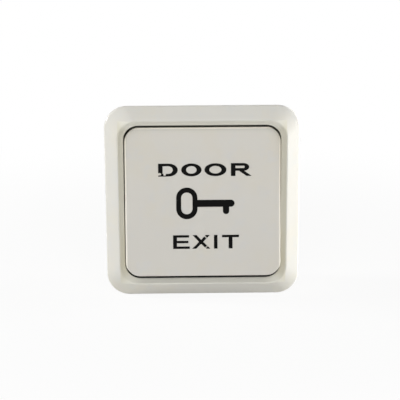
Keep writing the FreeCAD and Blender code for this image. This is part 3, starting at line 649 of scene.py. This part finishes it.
def addClaw(side, up, size, opening, seat):
    # A springy leg with a hook at its foot that leads in
    face = opening / 2 + size["tubeWall"] + size["clawStep"]
    foot = seat - size["clawLength"]
    leg = toSide(side, (opening / 2 + size["clawStep"], face))
    place = centred(up * size["clawPitch"] / 2, size["clawWidth"])
    addBlock(leg, (foot, seat + size["clawRoot"]), place)
    hookTop = foot + size["hookHeight"]
    bpy.ops.mesh.bisect(plane_co=(0, -mm(hookTop), 0), plane_no=(0, 1, 0))
    faceX = side * face

    def isHookFace(item):
        middle = item.calc_center_median()
        isOuter = abs(middle.x * 1000 - faceX) < nearEnough and depthOf(middle) < hookTop
        return isOuter and middle.z * up > 0

    pick("FACE", isHookFace)
    outward = (mm(side * size["clawHook"]), 0, 0)
    bpy.ops.mesh.extrude_region_move(TRANSFORM_OT_translate={"value": outward})
    reach = face + size["clawHook"]

    def isHookFoot(edge):
        return all(
            abs(vertex.co.x * 1000 - side * reach) < nearEnough
            and abs(depthOf(vertex.co) - foot) < nearEnough
            and vertex.co.z * up > 0
            for vertex in edge.verts
        )

    pick("EDGE", isHookFoot)
    bpy.ops.mesh.bevel(offset=mm(size["hookLead"]), segments=3, affect="EDGES")


def makeCoverFrame(size):
    across = spanOf("cover_frame", 0)
    ridge = depthOf(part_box("cover_frame")[0])
    edge = ridge - size["ridgeRise"]
    seat = edge - size["seatDrop"]
    skirtBack = edge - size["skirt"]
    ridgeSize = across - 2 * size["ridgeInset"]
    opening = ridgeSize - 2 * size["bandWidth"]
    tubeBack = seat - size["tubeLength"]
    tube = opening + 2 * size["tubeWall"]
    tubeCorner = size["openingCorner"] + size["tubeWall"]
    inner = across - 2 * size["skirtWall"]
    innerCorner = size["corner"] - size["skirtWall"]
    band = ridge - size["bandDrop"]
    # The band is a little hollow: steep under the ridge, flatter beside the plate
    sag = size["bandSag"]
    bandMiddle = (ridgeSize + opening) / 2 + sag
    bandMiddleCorner = (size["ridgeCorner"] + size["openingCorner"] + sag) / 2
    piece = startPiece("coverFrame")
    loftOutlines([
        (across, across, size["corner"], skirtBack),
        (across, across, size["corner"], edge),
        (ridgeSize, ridgeSize, size["ridgeCorner"], ridge),
        (bandMiddle, bandMiddle, bandMiddleCorner, (ridge + band) / 2 - sag / 2),
        (opening, opening, size["openingCorner"], band),
        (opening, opening, size["openingCorner"], tubeBack),
        (tube, tube, tubeCorner, tubeBack),
        (tube, tube, tubeCorner, seat),
        (inner, inner, innerCorner, seat),
        (inner, inner, innerCorner, skirtBack),
    ], size["steps"], "closed")
    roundEdges(edge, size["edgeRound"], segments=4)
    roundEdges(ridge, size["ridgeRound"], segments=5)
    roundEdges(band, size["openingRound"], segments=3)
    roundEdges(skirtBack, size["innerRound"], segments=2)
    roundEdges(tubeBack, size["innerRound"], segments=2)
    finishEditing(piece)
    claws = startPiece("claws")
    for side in (1, -1):
        for up in (1, -1):
            addClaw(side, up, size, opening, seat)
    finishEditing(claws)
    softenEdges(claws, size["clawRound"])
    makeCurrent(piece)
    claws.select_set(True)
    bpy.ops.object.join()
    smoothSurface(piece)
    standFor(piece, "cover_frame", "housing")


makeCoverFrame(coverFrame)
print("cover frame made")


pushPlate = {
    **plateFace,
    "corner": 6, "thickness": 2, "skirt": 4, "wall": 1.4,
    "frontRound": 0.3, "backRound": 0.2, "steps": 16,
    "ribLevel": 18, "ribWidth": 1.2, "ribHeight": 1, "embed": 0.3,
    "postAcross": 6.4, "postUp": 10.8, "postWidth": 2.4, "postHeight": 2,
    "postEnd": 1.1, "barb": 0.5, "barbHeight": 0.8, "postRound": 0.15,
}


def makePushPlate(size):
    front = size["front"]
    back = front - size["thickness"]
    skirtEnd = front - size["skirt"]
    width = spanOf("push_plate", 0)
    inner = [side - 2 * size["wall"] for side in (width, size["height"])]
    innerCorner = size["corner"] - size["wall"]
    outer = (width, size["height"], size["corner"])
    piece = startPiece("pushPlate")
    loftOutlines([
        (*inner, innerCorner, back),
        (*inner, innerCorner, skirtEnd),
        (*outer, skirtEnd),
        (*outer, front),
    ], size["steps"], "capped", size["shift"])
    roundEdges(front, size["frontRound"], segments=5)
    roundEdges(skirtEnd, size["backRound"], segments=2)
    finishEditing(piece)
    ribs = startPiece("ribs")
    ribHalf = (width - size["wall"]) / 2 - size["shift"]
    root = back + size["embed"]
    for side in (1, -1):
        ribZ = centred(side * size["ribLevel"], size["ribWidth"])
        addBlock((-ribHalf, ribHalf), (back - size["ribHeight"], root), ribZ)
        postX = centred(side * size["postAcross"], size["postWidth"])
        for up in (1, -1):
            postZ = centred(up * size["postUp"], size["postHeight"])
            addBlock(postX, (size["postEnd"], root), postZ)
            barbOut = size["postUp"] + size["postHeight"] / 2 + size["barb"]
            barbZ = toSide(up, (size["postUp"], barbOut))
            addBlock(postX, (size["postEnd"], size["postEnd"] + size["barbHeight"]), barbZ)
    finishEditing(ribs)
    softenEdges(ribs, size["postRound"])
    makeCurrent(piece)
    ribs.select_set(True)
    bpy.ops.object.join()
    smoothSurface(piece)
    settle(piece, rockerPlace)
    standFor(piece, "push_plate", "rocker")


makePushPlate(pushPlate)
print("push plate made")


# Places on the plate's face, from its pivot. Each letter has its own left and right side
legendPrint = {
    "across": 0.07, "up": 0.05, "face": plateFace["front"], "thickness": 0.1,
    "weldReach": 0.0001, "curveSteps": 64, "cornerSteps": 14,
    "topWord": {"low": 10.68, "high": 15.98, "stem": 1.85, "bar": 1.08, "roundExtra": 0.15},
    "letterD": {"left": -18.25, "right": -10.18, "roundHalf": 3.9, "roundExtra": 0.2},
    "firstO": {"left": -8.75, "right": -0.42},
    "secondO": {"left": 0.8, "right": 9.8},
    "letterR": {
        "left": 11.68, "right": 20.2, "bowlRight": 19.2, "bowlHeight": 3.15, "roundHalf": 2.4,
        "legLeft": 15.0, "legStroke": 2.1, "legOverlap": 0.3,
    },
    "bottomWord": {"low": -19.5, "high": -13.8, "stem": 1.6, "bar": 0.98},
    "letterE": {"left": -12.38, "top": -5.75, "middle": -6.05, "bottom": -5.5},
    "letterX": {
        "left": -4.5, "right": 3.0, "topLeft": -4.3, "topRight": 2.8, "stroke": 1.65,
    },
    "letterI": {"left": 4.55, "right": 6.0},
    "letterT": {"left": 7.87, "right": 14.9, "stemLeft": 10.62},
    "key": {
        "bowLeft": -10.95, "bowRight": -2.18, "bowLow": -7.1, "bowHigh": 6.02,
        "bowCorner": 4.35, "rim": 2.05, "shankLow": -2.05, "shankHigh": 0.86,
        "shankEnd": 13.12, "toothLeft": 8.3, "toothRight": 10.9, "toothLow": -5.12,
    },
}


def arc(x, z, across, up, start, end, steps):
    # Points on an oval round (x, z), from one angle to another in degrees
    turns = [math.radians(start + (end - start) * index / steps) for index in range(steps + 1)]
    return [(x + across * math.cos(turn), z + up * math.sin(turn)) for turn in turns]


def ovalPair(letter, word, steps):
    # The letter O: thick sides, and a thin top and bottom
    x, z = (letter["left"] + letter["right"]) / 2, (word["low"] + word["high"]) / 2
    across, up = (letter["right"] - letter["left"]) / 2, (word["high"] - word["low"]) / 2
    outside = arc(x, z, across, up, 0, 360, steps)[:-1]
    innerAcross = across - word["stem"] - word["roundExtra"]
    inside = arc(x, z, innerAcross, up - word["bar"], 0, 360, steps)[:-1]
    return [outside, inside]


def letterD(letter, word, steps):
    low, high, bar = word["low"], word["high"], word["bar"]
    z, half = (low + high) / 2, (high - low) / 2
    x = letter["right"] - letter["roundHalf"]
    stemRight = letter["left"] + word["stem"]
    outside = [
        (letter["left"], low),
        *arc(x, z, letter["roundHalf"], half, -90, 90, steps),
        (letter["left"], high),
    ]
    innerAcross = letter["roundHalf"] - word["stem"] - letter["roundExtra"]
    inside = [
        (stemRight, low + bar),
        *arc(x, z, innerAcross, half - bar, -90, 90, steps),
        (stemRight, high - bar),
    ]
    return [outside, inside]


def letterR(letter, word, steps):
    low, high, bar = word["low"], word["high"], word["bar"]
    bowlLow = high - letter["bowlHeight"]
    z, half = (bowlLow + high) / 2, (high - bowlLow) / 2
    x = letter["bowlRight"] - letter["roundHalf"]
    stemRight = letter["left"] + word["stem"]
    legRight = letter["right"]
    legTop = letter["legLeft"] + letter["legStroke"]
    bowl = arc(x, z, letter["roundHalf"], half, -90, 90, steps)
    outside = [
        (letter["left"], low), (stemRight, low), (stemRight, bowlLow),
        (letter["legLeft"], bowlLow), (legRight - letter["legStroke"], low), (legRight, low),
        (legTop, bowlLow),
        *[point for point in bowl if point[0] > legTop - letter["legOverlap"]],
        (letter["left"], high),
    ]
    inside = [
        (stemRight, bowlLow + bar),
        *arc(x, z, letter["roundHalf"] - word["stem"], half - bar, -90, 90, steps),
        (stemRight, high - bar),
    ]
    return [outside, inside]


def letterE(letter, word):
    low, high, bar = word["low"], word["high"], word["bar"]
    stemRight = letter["left"] + word["stem"]
    middle = (low + high) / 2
    return [[
        (letter["left"], low), (letter["bottom"], low), (letter["bottom"], low + bar),
        (stemRight, low + bar), (stemRight, middle - bar / 2),
        (letter["middle"], middle - bar / 2), (letter["middle"], middle + bar / 2),
        (stemRight, middle + bar / 2), (stemRight, high - bar),
        (letter["top"], high - bar), (letter["top"], high), (letter["left"], high),
    ]]


def letterX(letter, word):
    low, high, stroke = word["low"], word["high"], letter["stroke"]
    middle = (low + high) / 2
    waist = (letter["left"] + letter["right"]) / 2
    waistUp = stroke / 2 * (high - low) / (letter["right"] - letter["left"] - stroke)
    return [[
        (letter["left"], low), (letter["left"] + stroke, low), (waist, middle - waistUp),
        (letter["right"] - stroke, low), (letter["right"], low),
        (waist + stroke / 2, middle),
        (letter["topRight"], high), (letter["topRight"] - stroke, high),
        (waist, middle + waistUp),
        (letter["topLeft"] + stroke, high), (letter["topLeft"], high),
        (waist - stroke / 2, middle),
    ]]


def letterT(letter, word):
    low, high, bar = word["low"], word["high"], word["bar"]
    left, right = letter["stemLeft"], letter["stemLeft"] + word["stem"]
    return [[
        (left, low), (right, low), (right, high - bar), (letter["right"], high - bar),
        (letter["right"], high), (letter["left"], high), (letter["left"], high - bar),
        (left, high - bar),
    ]]


def keySign(key, steps):
    # A key: long round bow, then the shank and one tooth with rounded ends
    corner, rim = key["bowCorner"], key["rim"]
    shankHalf = (key["shankHigh"] - key["shankLow"]) / 2
    shankMiddle = (key["shankHigh"] + key["shankLow"]) / 2
    toothHalf = (key["toothRight"] - key["toothLeft"]) / 2
    toothMiddle = (key["toothLeft"] + toothHalf, key["toothLow"] + toothHalf)

    def bow(inset):
        left, right = key["bowLeft"] + inset, key["bowRight"] - inset
        low, high = key["bowLow"] + inset, key["bowHigh"] - inset
        radius = corner - inset
        return {
            "upper": [
                *arc(right - radius, high - radius, radius, radius, 0, 90, steps),
                *arc(left + radius, high - radius, radius, radius, 90, 180, steps),
            ],
            "lower": [
                *arc(left + radius, low + radius, radius, radius, 180, 270, steps),
                *arc(right - radius, low + radius, radius, radius, 270, 360, steps),
            ],
        }

    outer, hole = bow(0), bow(rim)
    outside = [
        *outer["upper"], *outer["lower"], (key["bowRight"], key["shankLow"]),
        (key["toothLeft"], key["shankLow"]),
        *arc(*toothMiddle, toothHalf, toothHalf, 180, 360, steps),
        (key["toothRight"], key["shankLow"]),
        *arc(key["shankEnd"] - shankHalf, shankMiddle, shankHalf, shankHalf, -90, 90, steps),
        (key["bowRight"], key["shankHigh"]),
    ]
    return [outside, [*hole["upper"], *hole["lower"]]]


def makeLegendPrint(size):
    top, bottom, steps = size["topWord"], size["bottomWord"], size["curveSteps"]
    loops = [
        *letterD(size["letterD"], top, steps),
        *ovalPair(size["firstO"], top, steps),
        *ovalPair(size["secondO"], top, steps),
        *letterR(size["letterR"], top, steps),
        *letterE(size["letterE"], bottom),
        *letterX(size["letterX"], bottom),
        *letterT(size["letterT"], bottom),
        [(size["letterI"][side], bottom[level]) for side, level in
         (("left", "low"), ("right", "low"), ("right", "high"), ("left", "high"))],
        *keySign(size["key"], size["cornerSteps"]),
    ]
    outlines = bpy.data.curves.new("legendPrint", "CURVE")
    outlines.dimensions = "2D"
    outlines.fill_mode = "BOTH"
    outlines.extrude = mm(size["thickness"] / 2)
    for loop in loops:
        line = outlines.splines.new("POLY")
        line.points.add(len(loop) - 1)
        line.use_cyclic_u = True
        for point, (x, z) in zip(line.points, loop):
            point.co = (mm(x), mm(z), 0, 1)
    piece = bpy.data.objects.new("legendPrint", outlines)
    bpy.context.scene.collection.objects.link(piece)
    makeCurrent(piece)
    bpy.ops.object.convert(target="MESH")
    piece = bpy.context.object
    piece.name = piece.data.name = "legendPrint"
    # The curve leaves its faces and sides unjoined
    bpy.ops.object.mode_set(mode="EDIT")
    bpy.ops.mesh.select_all(action="SELECT")
    bpy.ops.mesh.remove_doubles(threshold=mm(size["weldReach"]))
    bpy.ops.mesh.normals_make_consistent(inside=False)
    finishEditing(piece)
    middle = size["face"] + size["thickness"] / 2
    onFace = Matrix.Translation((mm(size["across"]), -mm(middle), mm(size["up"])))
    settle(piece, rockerPlace @ onFace @ Matrix.Rotation(quarterTurn, 4, "X"))
    smoothSurface(piece)
    standFor(piece, "legend_print", "rocker")


makeLegendPrint(legendPrint)
print("legend printed")


baseBox = {
    "frontCorner": 6.6, "backCorner": 5.4, "taper": 1.6, "wall": 2.2, "backPlate": 2,
    "bossMiddle": 30, "bossRadius": 3.7, "bossFront": 14.79, "bossRib": 1.8,
    "pilotRadius": 1.3, "pilotDepth": 10,
    "slotMiddle": 20, "slotWidth": 4.4, "slotLength": 8,
    "cableRadius": 6.5, "cableMiddle": 26,
    "knockoutWidth": 16, "knockoutHeight": 12, "knockoutDepth": 12.5, "knockoutWall": 1.5,
    "recessReach": 35.5, "recessClearance": 0.2, "overcut": 1, "edgeRound": 0.3, "steps": 14,
}


def makeBaseBox(size, claw):
    front = depthOf(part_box("base_box")[0])
    frontSize = spanOf("base_box", 0)
    backSize = frontSize - 2 * size["taper"]
    wall, over = size["wall"], size["overcut"]
    piece = startPiece("baseBox")
    loftOutlines([
        (backSize, backSize, size["backCorner"], 0),
        (frontSize, frontSize, size["frontCorner"], front),
        (frontSize - 2 * wall, frontSize - 2 * wall, size["frontCorner"] - wall, front),
        (backSize - 2 * wall, backSize - 2 * wall, size["backCorner"] - wall, size["backPlate"]),
    ], size["steps"], "capped")
    finishEditing(piece)
    posts = startPiece("screwPosts")
    bossDepth = (size["backPlate"] / 2, size["bossFront"])
    for side in (1, -1):
        addRod(size["bossRadius"], bossDepth, side * size["bossMiddle"])
        ribX = toSide(side, (size["bossMiddle"], backSize / 2 - wall / 2))
        addBlock(ribX, bossDepth, centred(0, size["bossRib"]))
    finishEditing(posts)
    combine(piece, posts, "UNION")
    cuts = startPiece("boxCuts")
    through = (-over, size["backPlate"] + over)
    slotStraight = size["slotLength"] - size["slotWidth"]
    clearance = size["recessClearance"]
    recessStart = front - claw["clawLength"] - clearance
    recessDepth = (recessStart, recessStart + claw["hookHeight"] + 2 * clearance)
    recessX = (backSize / 2 - wall - over, size["recessReach"])
    knockoutZ = (backSize / 2 - wall + size["knockoutWall"], frontSize / 2 + over)
    knockoutDepth = centred(size["knockoutDepth"], size["knockoutHeight"])
    pilotDepth = (size["bossFront"] - size["pilotDepth"], size["bossFront"] + over)
    addRod(size["cableRadius"], through, z=-size["cableMiddle"], vertices=64)
    for side in (1, -1):
        addRod(size["pilotRadius"], pilotDepth, side * size["bossMiddle"])
        slotX = centred(side * size["slotMiddle"], slotStraight)
        addBlock(slotX, through, centred(0, size["slotWidth"]))
        for end in slotX:
            addRod(size["slotWidth"] / 2, through, end)
        addBlock(centred(0, size["knockoutWidth"]), knockoutDepth, toSide(side, knockoutZ))
        for up in (1, -1):
            recessZ = centred(up * claw["clawPitch"] / 2, claw["clawWidth"] + 2 * clearance)
            addBlock(toSide(side, recessX), recessDepth, recessZ)
    finishEditing(cuts)
    combine(piece, cuts, "DIFFERENCE")
    softenEdges(piece, size["edgeRound"])
    smoothSurface(piece)
    standFor(piece, "base_box", "housing")


makeBaseBox(baseBox, coverFrame)
print("box made")


returnSpring = {"wire": 0.5, "turns": 4.5, "keep": 0.8}
plungerSpring = {
    "wire": 0.35, "turns": 9, "radius": 1.55, "back": -4.95, "front": 2.45, "keep": 0.86,
}


def makeSpring(name, radius, size, span, place):
    # A coil whose axis points out of the wall, from the back of its span to the front
    wire, turns = size["wire"], size["turns"]
    wireSides, stepsPerTurn = 12, 32
    piece = startPiece(name)
    bpy.ops.mesh.primitive_circle_add(
        vertices=wireSides,
        radius=mm(wire / 2),
        location=(mm(radius - wire / 2), 0, 0),
        rotation=(quarterTurn, 0, 0),
    )
    finishEditing(piece)
    rise = span[1] - span[0] - wire
    steps = int(turns * stepsPerTurn)
    useModifier(
        piece, "SCREW", axis="Z", angle=turns * 2 * math.pi, screw_offset=mm(rise), steps=steps,
        render_steps=steps, use_merge_vertices=False,
    )
    makeCurrent(piece)
    bpy.ops.object.mode_set(mode="EDIT")
    bpy.ops.mesh.select_all(action="SELECT")
    bpy.ops.mesh.fill_holes(sides=0)
    bpy.ops.mesh.select_all(action="SELECT")
    bpy.ops.mesh.normals_make_consistent(inside=False)
    finishEditing(piece)
    start = Matrix.Translation((0, -mm(span[0] + wire / 2), 0))
    settle(piece, place @ start @ Matrix.Rotation(quarterTurn, 4, "X"))
    smoothSurface(piece, angle=50)
    return piece


def makeReturnSpring(size):
    # It takes its radius, its place and its length from the frame
    low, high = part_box("return_spring")
    radius = spanOf("return_spring", 0) / 2
    level = Matrix.Translation((0, 0, (low.z + high.z) / 2))
    spring = makeSpring("returnSpring", radius, size, (depthOf(high), depthOf(low)), level)
    standFor(spring, "return_spring", "housing")
    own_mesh(spring)


def makePlungerSpring(size):
    span = (size["back"], size["front"])
    spring = makeSpring("plungerSpring", size["radius"], size, span, rockerPlace)
    standFor(spring, "plunger_spring", "rocker")
    outward = Vector(joints["plunger_slide"]["axis"])
    anchor = pivot + outward * mm(size["front"])
    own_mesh(spring)


makeReturnSpring(returnSpring)
makePlungerSpring(plungerSpring)
print("springs made")

for name, node in nodes.items():
    if not node.hide_render:
        dress(node, slotOf[name])
print("other nodes dressed")


# The floor is white for the camera, and keeps a little of the object's shadow near it
stage = {
    "floorSpan": 6, "floorCuts": 3, "floorFace": "E6E6E4", "floorRoughness": 0.9,
    "floorSpecular": 0.1, "nearWhite": 0.9, "nearReach": 0.09, "farReach": 0.3,
    "worldLight": 0.09,
}

# Turn is to the right of straight ahead and rise is above level, in degrees. Lengths in metres
lamps = {
    "highKeyLamp": {
        "turn": 0, "rise": 36, "away": 1.1, "width": 0.9, "height": 0.6, "power": 2.5,
    },
    "lowKeyLamp": {
        "turn": 0, "rise": 24, "away": 1.1, "width": 0.9, "height": 0.6, "power": 4.5,
    },
    "topLamp": {
        "turn": 0, "rise": 78, "away": 0.9, "width": 0.9, "height": 0.5, "power": 1.1,
    },
    "rightRimLamp": {
        "turn": 98, "rise": 2, "away": 0.8, "width": 0.2, "height": 0.14, "power": 8.7,
    },
    "leftRimLamp": {
        "turn": -98, "rise": 20, "away": 0.8, "width": 0.2, "height": 0.3, "power": 4.7,
    },
}


def direction(turn, rise):
    across, up = math.radians(turn), math.radians(rise)
    return Vector((math.sin(across) * math.cos(up), -math.cos(across) * math.cos(up), math.sin(up)))


def makeFloor(size):
    deselectAll()
    bpy.ops.mesh.primitive_plane_add(size=size["floorSpan"], location=(0, 0, cadLow.z))
    floor = bpy.context.object
    floor.name = floor.data.name = "floor"
    bpy.ops.object.mode_set(mode="EDIT")
    bpy.ops.mesh.select_all(action="SELECT")
    bpy.ops.mesh.subdivide(number_cuts=size["floorCuts"])
    finishEditing(floor)
    settle(floor)
    finish = Finish(
        "floorPaper", Base_Color=tone(size["floorFace"]), Roughness=size["floorRoughness"],
        Specular_IOR_Level=size["floorSpecular"],
    )
    reach = finish.node("ShaderNodeVectorMath", {"operation": "LENGTH"}, {0: finish.place}, "Value")
    far = reach.fade(size["nearReach"], size["farReach"])
    whiteShare = size["nearWhite"] + far * (1 - size["nearWhite"])
    glow = finish.node("ShaderNodeEmission", sockets={"Color": white, "Strength": 1.0})
    paper = Value(finish, finish.shader.outputs[0])
    seen = finish.whiteRays() * whiteShare
    mixed = finish.node("ShaderNodeMixShader", sockets={0: seen, 1: paper, 2: glow})
    output = next(node for node in finish.tree.nodes if node.type == "OUTPUT_MATERIAL")
    finish.feed(output, {"Surface": mixed})
    floor.data.materials.append(finish.material)


def makeWorld(size):
    # White to look at, and dim as a light
    world = bpy.data.worlds.new("studio")
    world.use_nodes = True
    world.node_tree.nodes.clear()
    bpy.context.scene.world = world
    sky = Nodes(world.node_tree)
    dim, bright = (
        sky.node("ShaderNodeBackground", sockets={"Color": white, "Strength": strength})
        for strength in (size["worldLight"], 1.0)
    )
    mixed = sky.node("ShaderNodeMixShader", sockets={0: sky.whiteRays(), 1: dim, 2: bright})
    sky.feed(sky.tree.nodes.new("ShaderNodeOutputWorld"), {"Surface": mixed})


def addLamp(name, lamp):
    light = bpy.data.lights.new(name, "AREA")
    light.shape = "RECTANGLE"
    light.size, light.size_y = lamp["width"], lamp["height"]
    light.energy = lamp["power"]
    item = bpy.data.objects.new(name, light)
    bpy.context.scene.collection.objects.link(item)
    target = Vector((0, (cadLow.y + cadHigh.y) / 2, 0))
    away = direction(lamp["turn"], lamp["rise"])
    item.location = target + away * lamp["away"]
    item.rotation_euler = away.to_track_quat("Z", "Y").to_euler()


viewPoint = {
    "targetDepth": 25.5, "away": 500, "turn": -0.972, "rise": 14.38, "roll": -0.266,
    "lens": 108.94, "sensor": 36, "shiftX": -0.00632, "shiftY": 0.00374,
    "near": 0.01, "far": 20,
}


def makeCamera(view):
    lens = bpy.data.cameras.new("portraitLens")
    lens.lens, lens.sensor_width, lens.sensor_fit = view["lens"], view["sensor"], "HORIZONTAL"
    lens.shift_x, lens.shift_y = view["shiftX"], view["shiftY"]
    lens.clip_start, lens.clip_end = view["near"], view["far"]
    camera = bpy.data.objects.new("portraitCamera", lens)
    bpy.context.scene.collection.objects.link(camera)
    target = Vector((0, -mm(view["targetDepth"]), 0))
    away = direction(view["turn"], view["rise"])
    right = Vector((0, 0, 1)).cross(away).normalized()
    up = away.cross(right)
    roll = math.radians(view["roll"])
    turnedRight = right * math.cos(roll) + up * math.sin(roll)
    turnedUp = up * math.cos(roll) - right * math.sin(roll)
    place = Matrix((turnedRight, turnedUp, away)).transposed().to_4x4()
    place.translation = target + away * mm(view["away"])
    camera.matrix_world = place
    bpy.context.scene.camera = camera


makeFloor(stage)
makeWorld(stage)
for name, lamp in lamps.items():
    addLamp(name, lamp)
makeCamera(viewPoint)
bpy.context.scene.view_settings.view_transform = "Standard"
print("stage, lamps and camera ready")
